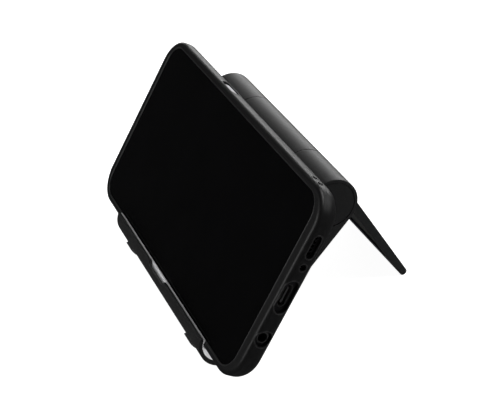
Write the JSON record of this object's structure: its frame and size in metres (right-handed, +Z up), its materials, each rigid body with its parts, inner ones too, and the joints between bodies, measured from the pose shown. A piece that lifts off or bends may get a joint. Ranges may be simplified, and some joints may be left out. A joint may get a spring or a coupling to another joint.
{
  "type": "phone desk stand with cased smartphone",
  "caption": "Folding black desk stand with a lined lip and a hinged rear leg, holding a smartphone on its side in a slim flexible case.",
  "frame": {"origin": "on the desk, under the middle of the whole object's bounding box", "axes": "+X along the handset to its port end, +Y to the back where the leg stands, +Z up from the desk"},
  "size_m": [0.1524, 0.0956, 0.074],
  "materials": {
    "stand_plastic": "fine matt black moulding",
    "case_tpu": "flexible matt black case",
    "screen_glass": "opaque black display glass",
    "liner": "soft light grey liner",
    "foot_rubber": "matt black rubber",
    "steel": "plain steel",
    "friction_polymer": "dark bearing plastic",
    "bush_polymer": "natural bearing plastic",
    "frame_alloy": "black anodised, satin",
    "key_alloy": "black anodised, satin",
    "back_glass": "black back glass",
    "display": "display laminate",
    "battery_wrap": "black battery wrap",
    "board": "green circuit board",
    "module_plastic": "black module housing",
    "lens": "dark camera glass",
    "flash": "pale yellow flash window"
  },
  "bodies": {
    "cradle": {"cradle": "stand_plastic", "left_pod_cover": "stand_plastic", "right_pod_cover": "stand_plastic", "pod_screws": "steel", "cradle_liner": "liner", "lip_feet": "foot_rubber", "hinge_axle": "steel", "axle_nut": "steel", "disc_springs": "steel", "axle_washers": "steel", "friction_washers": "friction_polymer", "left_end_cap": "stand_plastic", "right_end_cap": "stand_plastic"},
    "leg": {"leg": "stand_plastic", "leg_inner_cover": "stand_plastic", "leg_cover_screws": "steel", "leg_bushes": "bush_polymer", "leg_foot_strip": "foot_rubber"},
    "handset_in_case": {"case_shell": "case_tpu", "display_glass": "screen_glass", "display_panel": "display", "mid_frame": "frame_alloy", "back_glass": "back_glass", "battery": "battery_wrap", "main_board": "board", "board_shields": "steel", "board_screws": "steel", "sub_board": "board", "usb_c_socket": "steel", "headphone_jack": "module_plastic", "loudspeaker": "module_plastic", "bottom_microphone": "steel", "earpiece": "module_plastic", "front_camera": "module_plastic", "rear_cameras": "module_plastic", "camera_windows": "lens", "flash_window": "flash", "key_switches": "steel", "vibration_motor": "steel", "sim_tray": "key_alloy"},
    "power_key": {"power_key": "key_alloy"},
    "volume_up_key": {"volume_up_key": "key_alloy"},
    "volume_down_key": {"volume_down_key": "key_alloy"}
  },
  "joints": [
    {"name": "leg_hinge", "type": "hinge", "parent": "cradle", "child": "leg", "pos_m": [0.0017, 0.00462, 0.05589], "axis": [1, 0, 0], "range_deg": [-74, 30]},
    {"name": "case_lift", "type": "slide", "parent": "cradle", "child": "handset_in_case", "axis": [0, 0.5196, 0.8544], "range_m": [0, 0.09]},
    {"name": "power_key_press", "type": "slide", "parent": "handset_in_case", "child": "power_key", "axis": [0, -0.5196, -0.8544], "range_m": [0, 0.0003], "stiffness_N_per_m": 2500, "springref_m": -0.0002},
    {"name": "volume_up_key_press", "type": "slide", "parent": "handset_in_case", "child": "volume_up_key", "axis": [0, 0.5196, 0.8544], "range_m": [0, 0.0003], "stiffness_N_per_m": 2500, "springref_m": -0.0002},
    {"name": "volume_down_key_press", "type": "slide", "parent": "handset_in_case", "child": "volume_down_key", "axis": [0, 0.5196, 0.8544], "range_m": [0, 0.0003], "stiffness_N_per_m": 2500, "springref_m": -0.0002}
  ]
}
